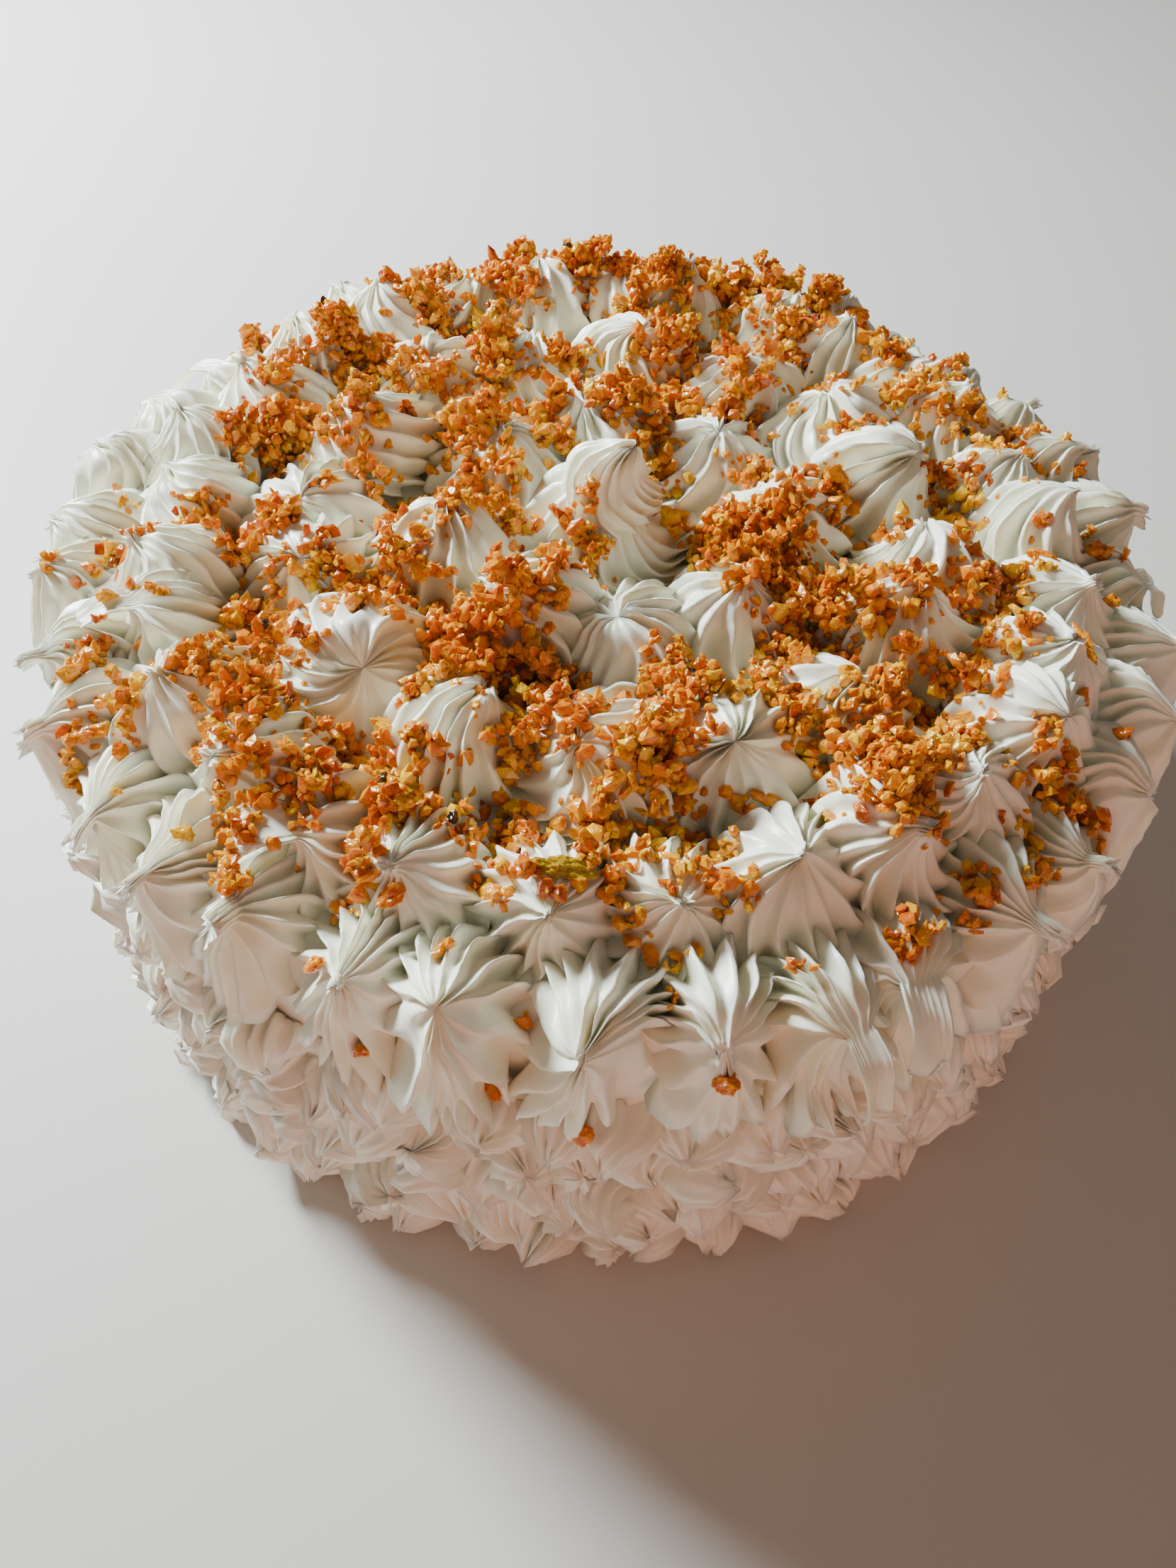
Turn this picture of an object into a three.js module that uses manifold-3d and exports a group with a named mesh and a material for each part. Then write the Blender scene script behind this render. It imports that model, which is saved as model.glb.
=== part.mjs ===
// A round carrot cake, covered in white cream. Small piped stars cover its wall, large piped stars
// cover its top in rings, and a row of drooping ones hides the rim. Candied carrot crumbs lie on top.
// Millimetres, +Z up, origin at the middle of the flat underside. The cake's front is at -Y.
import * as THREE from "three";
import { mergeVertices } from "three/addons/utils/BufferGeometryUtils.js";
import Module from "manifold-3d";

const wasm = await Module();
wasm.setup();

// The cake under the cream.
const CAKE_RADIUS = 105.5;
const CAKE_HEIGHT = 82;
const GAP = 0.3; // between the cake and the piped cream that sits on it
const COAT = 3; // cream spread under the piped stars
const COAT_SIDE = 1.5; // and over the cake's edge, down to COAT_HEM
const COAT_HEM = 66;
const COAT_ROUND = 9; // radius of the coat's upper edge
const COAT_SEGMENTS = 48;
const EDGE_STEPS = 3;
const COAT_TOP = CAKE_HEIGHT + GAP + COAT;
const FOOT = COAT_TOP - 1.5; // the piped stars start a little inside the coat

// Small stars on the wall: rows of WALL_STARS, each row turned by half a star against the last.
const WALL_STARS = 58;
const WALL_ROWS = 5;
const ROW_PITCH = 12.6;
const FIRST_ROW = 6.5;
const WALL_GROUP = 7; // its own random draws
const STAR_HEIGHT = 9.3;
const STAR_UNEVEN = 0.2; // how much lower the lowest star is, as a share
const CREASE = 0.34; // how far the creases between the stars stand out, as a share of their height
// The rim's stars droop over the wall, so the upper wall stars stay inside a cone.
const DROOP_TOP = COAT_HEM;
const DROOP_FOOT = 42;
const DROOP_REACH = 11;

// Rings of large piped stars, from the middle one out. radius: of the ring, phase: where its first star
// is, in degrees, foot: height that the stars start from, base: radius of a star's foot, tilt: lean of its
// axis away from the centre in degrees, skirt: how much longer its outer side is, drape: how sharply that
// side curves down, in radians for each millimetre. The last ring hangs over the rim.
const RINGS = [
  { count: 1, radius: 0, phase: -70, foot: FOOT, base: 18.5, height: 27, tilt: 0, skirt: 1, drape: 0 },
  { count: 8, radius: 31.5, phase: -82, foot: FOOT, base: 15.2, height: 16.5, tilt: 3, skirt: 1, drape: 0 },
  { count: 16, radius: 59, phase: -93, foot: FOOT, base: 15.2, height: 16, tilt: 4, skirt: 1, drape: 0 },
  { count: 29, radius: 86, phase: -95, foot: FOOT, base: 13.2, height: 16, tilt: 8, skirt: 1, drape: 0 },
  { count: 36, radius: 99, phase: -90, foot: 79, base: 11, height: 16, tilt: 28, skirt: 1.6, drape: 0.06 },
];
const MIDDLE_RIDGES = 8;
const RIDGES = 6;
const RIDGE_OUT = 1.07; // crests and grooves, as shares of the star's radius
const RIDGE_IN = 0.85;
// Heights on a star at which its section is drawn, as shares of its height. The rings from the middle one
// out are drawn in full, the last one plainly.
const RINGS_IN_FULL = 4;
const FULL = [0, 0.3, 0.68];
const PLAIN = [0, 0.45];
// A piped star's outline: how fast it closes towards its tip, and how much it bellies above its foot.
const CLOSING = 1;
const BELLY = 1.5;
// How far the stars stray from the regular ring. angle: share of the spacing, tilt: degrees, radius: mm,
// base, height and lean: shares of the star's own size, twist: radians from foot to tip.
const STRAY = { angle: 0.16, tilt: 5, radius: 1.6, base: 0.09, height: 0.14, lean: 0.17, twist: 0.55 };
// Creases finer than this are left out where the stars run into each other.
const FINEST = 1;

// The larger heaps of carrot crumbs: place on the top and spread of the heap.
const HEAPS = [
  { x: 33, y: -8, spread: 10 },
  { x: 42, y: -26, spread: 9 },
  { x: 59, y: -38, spread: 9 },
  { x: 43, y: -61, spread: 9 },
  { x: 10, y: -59, spread: 8 },
  { x: -14, y: -34, spread: 9 },
  { x: -30, y: -31, spread: 8 },
  { x: -46, y: -21, spread: 8 },
  { x: -72, y: -10, spread: 8 },
  { x: -59, y: -55, spread: 9 },
  { x: -31, y: -71, spread: 8 },
  { x: -72, y: 22, spread: 9 },
  { x: -60, y: 53, spread: 10 },
  { x: -29, y: 21, spread: 8 },
  { x: -27, y: 48, spread: 8 },
  { x: 1, y: 31, spread: 8 },
  { x: 12, y: 50, spread: 8 },
  { x: 4, y: 88, spread: 11 },
  { x: 44, y: 76, spread: 9 },
  { x: 72, y: 32, spread: 10 },
];
const HEAP_GROUP = 20; // the first heap's own random draws
const CLUMPS = 2; // in each heap
const CLUMP_SIZE = { least: 3.1, most: 4.5 };
const CLUMP_SHAPE = new THREE.Vector3(1, 1.15, 0.75); // its proportions
const CLUMP_ROUGH = 0.35; // how much its corners stand out or in, as a share
const CLUMP_RISE = 2.2; // height of its middle over the coat, in its own sizes

const CREAM = { color: 0xf3ecd8, roughness: 0.5, metalness: 0 };

// A repeatable number from 0 to 1 for piece `index` of group `group`; each use has its own `channel`.
function draw(group, index, channel) {
  const wave = Math.sin(group * 127.1 + index * 311.7 + channel * 74.7) * 43758.5453;
  return wave - Math.floor(wave);
}

function spread(group, index, channel) {
  return 2 * draw(group, index, channel) - 1;
}

// A closed geometry as a solid that can be joined and cut.
function toSolid(geometry) {
  const bare = geometry.clone();
  bare.deleteAttribute("normal");
  bare.deleteAttribute("uv");
  const merged = mergeVertices(bare, 1e-3);
  const corners = merged.index.array;
  const kept = [];
  for (let i = 0; i < corners.length; i += 3) {
    const [a, b, c] = corners.slice(i, i + 3);
    if (a !== b && b !== c && c !== a) kept.push(a, b, c);
  }
  return new wasm.Manifold(
    new wasm.Mesh({
      numProp: 3,
      vertProperties: new Float32Array(merged.attributes.position.array),
      triVerts: new Uint32Array(kept),
    }),
  );
}

function toGeometry(solid) {
  const mesh = solid.getMesh();
  const geometry = new THREE.BufferGeometry();
  geometry.setAttribute("position", new THREE.BufferAttribute(mesh.vertProperties, mesh.numProp));
  geometry.setIndex(new THREE.BufferAttribute(mesh.triVerts, 1));
  geometry.computeVertexNormals();
  return geometry;
}

// The largest body of a solid, without loose scraps and with its sealed hollows filled.
function largestBody(solid) {
  return solid.decompose().reduce((best, body) => (body.volume() > best.volume() ? body : best));
}

// A profile of [radius, height] pairs turned about the Z axis, bottom first.
function turned(profile, segments) {
  const points = profile.map(([radius, height]) => new THREE.Vector2(radius, height));
  return new THREE.LatheGeometry(points, segments).rotateX(Math.PI / 2);
}

// Moves every vertex of a geometry to where `place` puts it.
function reshaped(geometry, place) {
  const position = geometry.getAttribute("position");
  const point = new THREE.Vector3();
  for (let i = 0; i < position.count; i++) {
    place(point.fromBufferAttribute(position, i));
    position.setXYZ(i, point.x, point.y, point.z);
  }
  return geometry;
}

// The width of a piped star at a share of its height, as a share of its foot: an onion with a drawn tip.
function onion(share) {
  return (1 - share) ** CLOSING * (1 + BELLY * share);
}

// How far the wall stars may stand out of the cake at a height.
function wallReach(height) {
  const droop = (DROOP_TOP - height) / (DROOP_TOP - DROOP_FOOT);
  return Math.min(STAR_HEIGHT, Math.max(0, droop) * DROOP_REACH);
}

// The cake: a flat-bottomed drum with the small stars in relief on its wall.
function cake() {
  const columns = 2 * WALL_STARS;
  const half = ROW_PITCH / 2;
  const lastStep = 2 * WALL_ROWS - 2;
  const levels = [0];
  for (let step = 0; step <= lastStep + 1; step++) levels.push(FIRST_ROW + step * half);
  levels.push(CAKE_HEIGHT);
  const profile = [[0, 0], ...levels.map((level) => [CAKE_RADIUS, level]), [0, CAKE_HEIGHT]];
  return reshaped(turned(profile, columns), (point) => {
    const radius = Math.hypot(point.x, point.y);
    const step = Math.round((point.z - FIRST_ROW) / half);
    if (radius < 1 || step > lastStep) return;
    const turn = Math.round((Math.atan2(point.y, point.x) / (2 * Math.PI)) * columns);
    const column = (turn + columns) % columns;
    const atStar = step % 2 === 0 && (column + step / 2) % 2 === 0;
    const out = atStar ? 1 - STAR_UNEVEN * draw(WALL_GROUP, column, step) : CREASE;
    const grown = 1 + Math.min(out * STAR_HEIGHT, wallReach(point.z)) / radius;
    point.multiply(new THREE.Vector3(grown, grown, 1));
  });
}

// Where the outer side of a star hangs: how far it reaches outwards and up for a point that is `out` down
// the side and `rise` above it.
function draped(out, rise, drape) {
  if (drape === 0) return [out, rise];
  const bend = drape * out;
  return [
    Math.sin(bend) / drape + rise * Math.sin(bend),
    rise * Math.cos(bend) - (1 - Math.cos(bend)) / drape,
  ];
}

// One large piped star of a ring.
function pipedStar(ring, group, index) {
  const vary = (channel) => spread(group, index, channel);
  const turns = (index + STRAY.angle * vary(0)) / ring.count;
  const azimuth = THREE.MathUtils.degToRad(ring.phase + 360 * turns);
  const outward = new THREE.Vector3(Math.cos(azimuth), Math.sin(azimuth), 0);
  const across = new THREE.Vector3(-Math.sin(azimuth), Math.cos(azimuth), 0);
  const up = new THREE.Vector3(0, 0, 1);
  const tilt = THREE.MathUtils.degToRad(ring.tilt + STRAY.tilt * vary(1));
  const axis = up.clone().multiplyScalar(Math.cos(tilt)).addScaledVector(outward, Math.sin(tilt));
  const along = new THREE.Vector3().crossVectors(axis, across);
  const foot = outward
    .clone()
    .multiplyScalar(ring.radius ? ring.radius + STRAY.radius * vary(2) : 0)
    .addScaledVector(up, ring.foot);
  const base = ring.base * (1 + STRAY.base * vary(3));
  const height = ring.height * (1 + STRAY.height * vary(4));
  const lean = STRAY.lean * ring.height * vary(5);
  const twist = STRAY.twist * vary(6);
  const ridges = group === 0 ? MIDDLE_RIDGES : RIDGES;
  const stations = group < RINGS_IN_FULL ? FULL : PLAIN;

  const profile = [[0, 0], ...stations.map((share) => [onion(share), share]), [0, 1]];
  return reshaped(turned(profile, 2 * ridges), (point) => {
    const share = point.z;
    const angle = Math.atan2(point.y, point.x);
    const onRidge = Math.round((angle / Math.PI) * ridges + 2 * ridges) % 2 === 0;
    const radius = Math.hypot(point.x, point.y) * base * (onRidge ? RIDGE_OUT : RIDGE_IN);
    const turn = angle + twist * share;
    const inwards = radius * Math.sin(turn);
    const [out, rise] = draped(Math.max(-inwards, 0) * ring.skirt, height * share, ring.drape);
    point
      .copy(foot)
      .addScaledVector(across, radius * Math.cos(turn) + lean * share ** 2)
      .addScaledVector(along, Math.max(inwards, 0) - out)
      .addScaledVector(axis, rise);
  });
}

// A clump of crumbs lying in the cream.
function clump(heap, group, index) {
  const angle = 2 * Math.PI * draw(group, index, 1);
  const reach = heap.spread * Math.sqrt(draw(group, index, 2));
  const size = THREE.MathUtils.lerp(CLUMP_SIZE.least, CLUMP_SIZE.most, draw(group, index, 3));
  const rough = reshaped(new THREE.IcosahedronGeometry(size, 0), (point) => {
    const corner = Math.sin(3.1 * point.x + 1.7 * point.y + index);
    point.multiply(CLUMP_SHAPE).multiplyScalar(1 + CLUMP_ROUGH * corner);
  });
  return rough.translate(
    heap.x + reach * Math.cos(angle),
    heap.y + reach * Math.sin(angle),
    COAT_TOP + CLUMP_RISE * size,
  );
}

// What the cake and its wall stars fill, grown by the gap: the piped cream is cut to lie on it.
function cakeRoom() {
  const wall = CAKE_RADIUS + GAP;
  const top = CAKE_HEIGHT + GAP;
  return turned(
    [[0, 0], [wall + DROOP_REACH, 0], [wall + DROOP_REACH, DROOP_FOOT], [wall, DROOP_TOP],
      [wall, top], [0, top]],
    WALL_STARS,
  );
}

// The coat under the piped stars, rounded over the cake's upper edge.
function coat() {
  const outer = CAKE_RADIUS + GAP + COAT_SIDE;
  const edge = [];
  for (let step = 0; step <= EDGE_STEPS; step++) {
    const angle = (step / EDGE_STEPS) * (Math.PI / 2);
    edge.push([
      outer - COAT_ROUND * (1 - Math.cos(angle)),
      COAT_TOP - COAT_ROUND * (1 - Math.sin(angle)),
    ]);
  }
  return turned([[0, COAT_HEM], [outer, COAT_HEM], ...edge, [0, COAT_TOP]], COAT_SEGMENTS);
}

// All the piped cream of the top and rim, with the crumbs on it, as one solid.
function pipedCream() {
  let cream = toSolid(coat());
  RINGS.forEach((ring, group) => {
    for (let index = 0; index < ring.count; index++)
      cream = cream.add(toSolid(pipedStar(ring, group, index)));
  });
  HEAPS.forEach((heap, h) => {
    for (let index = 0; index < CLUMPS; index++)
      cream = cream.add(toSolid(clump(heap, HEAP_GROUP + h, index)));
  });
  const carved = largestBody(cream.simplify(FINEST).subtract(toSolid(cakeRoom())));
  // Points that all but touch are made one, and the pockets that this seals are filled.
  return largestBody(toSolid(toGeometry(carved)));
}

function named(name, geometry, finish) {
  const mesh = new THREE.Mesh(geometry, new THREE.MeshStandardMaterial(finish));
  mesh.name = name;
  return mesh;
}

const group = new THREE.Group();
group.name = "carrot_cake";
group.add(named("frosted_cake", toGeometry(toSolid(cake())), CREAM));
group.add(named("piped_cream", toGeometry(pipedCream()), CREAM));

export default group;
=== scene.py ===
"""A round carrot cake in white cream: small piped stars on its wall, rings of large piped stars on its
top, drooping ones round its rim, and candied carrot crumbs in the creases."""

import math

import bpy
import numpy as np
from mathutils import Matrix, Vector
from mathutils.bvhtree import BVHTree


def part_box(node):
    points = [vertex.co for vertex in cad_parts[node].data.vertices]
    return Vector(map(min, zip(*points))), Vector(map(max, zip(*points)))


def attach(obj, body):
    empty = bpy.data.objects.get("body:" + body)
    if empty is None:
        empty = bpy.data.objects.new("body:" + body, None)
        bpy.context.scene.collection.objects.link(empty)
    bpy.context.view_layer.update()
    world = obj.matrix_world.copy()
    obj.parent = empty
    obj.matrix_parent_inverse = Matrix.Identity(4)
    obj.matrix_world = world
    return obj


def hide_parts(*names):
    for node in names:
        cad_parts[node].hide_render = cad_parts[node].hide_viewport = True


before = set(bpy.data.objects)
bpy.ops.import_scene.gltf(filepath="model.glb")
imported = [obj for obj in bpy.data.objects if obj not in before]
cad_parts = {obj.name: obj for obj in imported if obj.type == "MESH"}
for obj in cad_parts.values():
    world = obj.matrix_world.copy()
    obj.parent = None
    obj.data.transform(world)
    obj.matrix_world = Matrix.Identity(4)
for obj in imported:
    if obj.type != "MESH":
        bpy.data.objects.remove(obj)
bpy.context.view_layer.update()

MM = 0.001
SOLID_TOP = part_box("frosted_cake")[1].z / MM

# The cake in its spread coat, in millimetres, and how deep a star's foot is sunk in the coat.
CAKE_RADIUS = 105.5
CAKE_TOP = SOLID_TOP + 3.3
EDGE_ROUND = 10
SUNK = 1.5
FOOT = CAKE_TOP - SUNK

# The rings of piped stars, as in the solids: how many, radius of the ring, where the first one is, height
# of the foot, and the star's own radius, height and tilt away from the centre. skirt: how much longer the
# outer side is, drape: how sharply that side curves down, in radians for each millimetre.
RINGS = {
    "middle": dict(group=0, count=1, radius=0, phase=-70, foot=FOOT, base=18.5, height=27, tilt=0, skirt=1,
                   drape=0),
    "inner": dict(group=1, count=8, radius=31.5, phase=-82, foot=FOOT, base=15.2, height=16.5, tilt=3,
                  skirt=1, drape=0),
    "second": dict(group=2, count=16, radius=59, phase=-93, foot=FOOT, base=15.2, height=16, tilt=4,
                   skirt=1, drape=0),
    "outer": dict(group=3, count=29, radius=86, phase=-95, foot=FOOT, base=13.2, height=16, tilt=8,
                  skirt=1, drape=0),
    "rim": dict(group=4, count=36, radius=99, phase=-90, foot=79, base=11, height=16, tilt=28, skirt=1.6,
                drape=0.06),
}
# The middle star is piped in two tiers.
MIDDLE_TIERS = {
    "middle_star": dict(RINGS["middle"], height=17),
    "middle_star_top": dict(RINGS["middle"], foot=FOOT + 13, base=10, height=14),
}

# The small stars on the wall, in quarters of it, and the patch that has none, in degrees and millimetres.
WALL_GROUP = 7
WALL_STARS = 58
WALL_ROWS = 5
ROW_PITCH = 12.6
FIRST_ROW = 6.5
WALL_STAR_RADIUS = 7.9
WALL_STAR_HEIGHT = 9.3
WALL_SIDES = ("left", "front", "right", "back")
LEFT_STARTS = 135  # the azimuth at which the left quarter starts
BARE_PATCH = dict(azimuth=-38, width=11, low=20, high=60)


def draw(group, index, channel):
    """A repeatable number from 0 to 1 for piece `index` of group `group`, one for each channel."""
    wave = math.sin(group * 127.1 + index * 311.7 + channel * 74.7) * 43758.5453
    return wave - math.floor(wave)


def vary(group, index, channel):
    return 2 * draw(group, index, channel) - 1


# Node trees ------------------------------------------------------------------------------------------


class Wire:
    """An output of a node, which adds Math and Vector Math nodes when it is used in an expression."""

    def __init__(self, graph, socket):
        self.graph = graph
        self.socket = socket

    @property
    def is_vector(self):
        return self.socket.type in ("VECTOR", "RGBA")

    def __add__(self, other):
        return self.graph.joined("ADD", self, other)

    def __radd__(self, other):
        return self.graph.joined("ADD", other, self)

    def __sub__(self, other):
        return self.graph.joined("SUBTRACT", self, other)

    def __rsub__(self, other):
        return self.graph.joined("SUBTRACT", other, self)

    def __mul__(self, other):
        return self.graph.joined("MULTIPLY", self, other)

    def __rmul__(self, other):
        return self.graph.joined("MULTIPLY", other, self)

    def __truediv__(self, other):
        return self.graph.joined("DIVIDE", self, other)

    def __rtruediv__(self, other):
        return self.graph.joined("DIVIDE", other, self)

class Graph:
    """A node tree under construction."""

    def __init__(self, tree):
        self.tree = tree

    def node(self, kind, settings=None, sockets=None, output=0):
        """Adds a node, makes its settings, then fills its sockets, and gives one of its outputs."""
        node = self.tree.nodes.new(kind)
        for name, value in (settings or {}).items():
            if name == "stops":
                self.set_stops(node.color_ramp, value)
            else:
                setattr(node, name, value)
        for key, value in (sockets or {}).items():
            self.fill(self.socket_of(node, key), value)
        return Wire(self, node.outputs[output])

    @staticmethod
    def socket_of(node, key):
        """An input by its number, or the enabled input of that name."""
        if isinstance(key, int):
            return node.inputs[key]
        return next(one for one in node.inputs if one.name == key and one.enabled)

    @staticmethod
    def set_stops(ramp, stops):
        while len(ramp.elements) < len(stops):
            ramp.elements.new(1)
        for element, (place, colour) in zip(ramp.elements, stops):
            element.position = place
            element.color = (*colour, 1)

    def fill(self, socket, value):
        if isinstance(value, Wire):
            self.tree.links.new(value.socket, socket)
        else:
            socket.default_value = value

    def math(self, operation, *values):
        return self.node("ShaderNodeMath", {"operation": operation}, dict(enumerate(values)))

    def vector(self, operation, *values):
        return self.node("ShaderNodeVectorMath", {"operation": operation}, dict(enumerate(values)))

    def joined(self, operation, first, second):
        """first and second through one Math node, or a Vector Math node where either is a vector."""
        vectors = [isinstance(one, Wire) and one.is_vector for one in (first, second)]
        if not any(vectors):
            return self.math(operation, first, second)
        if operation == "MULTIPLY" and not all(vectors):
            vector, scale = (first, second) if vectors[0] else (second, first)
            return self.node("ShaderNodeVectorMath", {"operation": "SCALE"}, {0: vector, 3: scale})
        return self.vector(operation, first, second)

    def smooth(self, value, low, high):
        """0 below low, 1 above high, and a smooth step between them."""
        return self.node("ShaderNodeMapRange", {"interpolation_type": "SMOOTHSTEP"},
                         {"Value": value, "From Min": low, "From Max": high})

    def above(self, value, floor):
        return self.math("MAXIMUM", value, floor)

    def noise(self, place, scale, detail=1.0, output=0, **more):
        """Noise on a place: output 0 is a number, output 1 a vector."""
        return self.node("ShaderNodeTexNoise", None,
                         {"Vector": place, "Scale": scale, "Detail": detail, **more}, output)

    def mix(self, share, first, second):
        """A mix of two colours."""
        return self.node("ShaderNodeMix", {"data_type": "RGBA"}, {0: share, 6: first, 7: second}, 2)


class Maker(Graph):
    """A Geometry Nodes tree with named inputs for its sizes."""

    KINDS = {float: "NodeSocketFloat", int: "NodeSocketInt"}

    def __init__(self, name, sizes):
        super().__init__(bpy.data.node_groups.new(name, "GeometryNodeTree"))
        interface = self.tree.interface
        interface.new_socket("Geometry", in_out="OUTPUT", socket_type="NodeSocketGeometry")
        interface.new_socket("Geometry", in_out="INPUT", socket_type="NodeSocketGeometry")
        interface.new_socket("Material", in_out="INPUT", socket_type="NodeSocketMaterial")
        for size, value in sizes.items():
            made = interface.new_socket(size, in_out="INPUT", socket_type=self.KINDS[type(value)])
            made.default_value = value
        self.entry = self.tree.nodes.new("NodeGroupInput")

    def input(self, name):
        return Wire(self, self.entry.outputs[name])

    def attribute(self, name, kind="FLOAT"):
        return self.node("GeometryNodeInputNamedAttribute", {"data_type": kind}, {"Name": name})

    def store(self, geometry, name, value, kind="FLOAT"):
        return self.node("GeometryNodeStoreNamedAttribute", {"data_type": kind},
                         {"Geometry": geometry, "Name": name, "Value": value})

    def random(self, low, high, identity, seed):
        return self.node("FunctionNodeRandomValue", {"data_type": "FLOAT"},
                         {"Min": low, "Max": high, "ID": identity, "Seed": seed}, 1)

    def end(self, geometry):
        """Every tree ends here: instances made real, and the material set."""
        real = self.node("GeometryNodeRealizeInstances", None, {"Geometry": geometry})
        done = self.node("GeometryNodeSetMaterial", None,
                         {"Geometry": real, "Material": self.input("Material")})
        exit_node = self.tree.nodes.new("NodeGroupOutput")
        self.tree.links.new(done.socket, exit_node.inputs[0])
        return self.tree


def grown(name, source, tree, material, **sizes):
    """Runs a Geometry Nodes tree on a source mesh and gives the plain mesh object that it makes."""
    worker = bpy.data.objects.new(name + "_source", source)
    bpy.context.scene.collection.objects.link(worker)
    modifier = worker.modifiers.new("grow", "NODES")
    modifier.node_group = tree
    sockets = {one.name: one.identifier for one in tree.interface.items_tree if one.in_out == "INPUT"}
    modifier[sockets["Material"]] = material
    for size, value in sizes.items():
        modifier[sockets[size.replace("_", " ").title()]] = value
    evaluated = worker.evaluated_get(bpy.context.evaluated_depsgraph_get())
    mesh = bpy.data.meshes.new_from_object(evaluated)
    for extra in [one.name for one in mesh.attributes if not (one.is_required or one.is_internal)]:
        if extra not in ("sharp_face", "material_index"):
            mesh.attributes.remove(mesh.attributes[extra])
    worker.modifiers.clear()
    bpy.data.objects.remove(worker)
    piece = bpy.data.objects.new(name, mesh)
    bpy.context.scene.collection.objects.link(piece)
    return piece


def points_mesh(name, places, numbers, vectors):
    """A mesh of loose points, in metres, that carries named numbers and vectors for a tree to read."""
    mesh = bpy.data.meshes.new(name)
    mesh.from_pydata([tuple(MM * c for c in place) for place in places], [], [])
    for key, values in numbers.items():
        attribute = mesh.attributes.new(key, "FLOAT", "POINT")
        attribute.data.foreach_set("value", np.array(values, np.float32))
    for key, values in vectors.items():
        attribute = mesh.attributes.new(key, "FLOAT_VECTOR", "POINT")
        attribute.data.foreach_set("vector", np.array(values, np.float32).ravel())
    return mesh


# Piped stars -----------------------------------------------------------------------------------------


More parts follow.
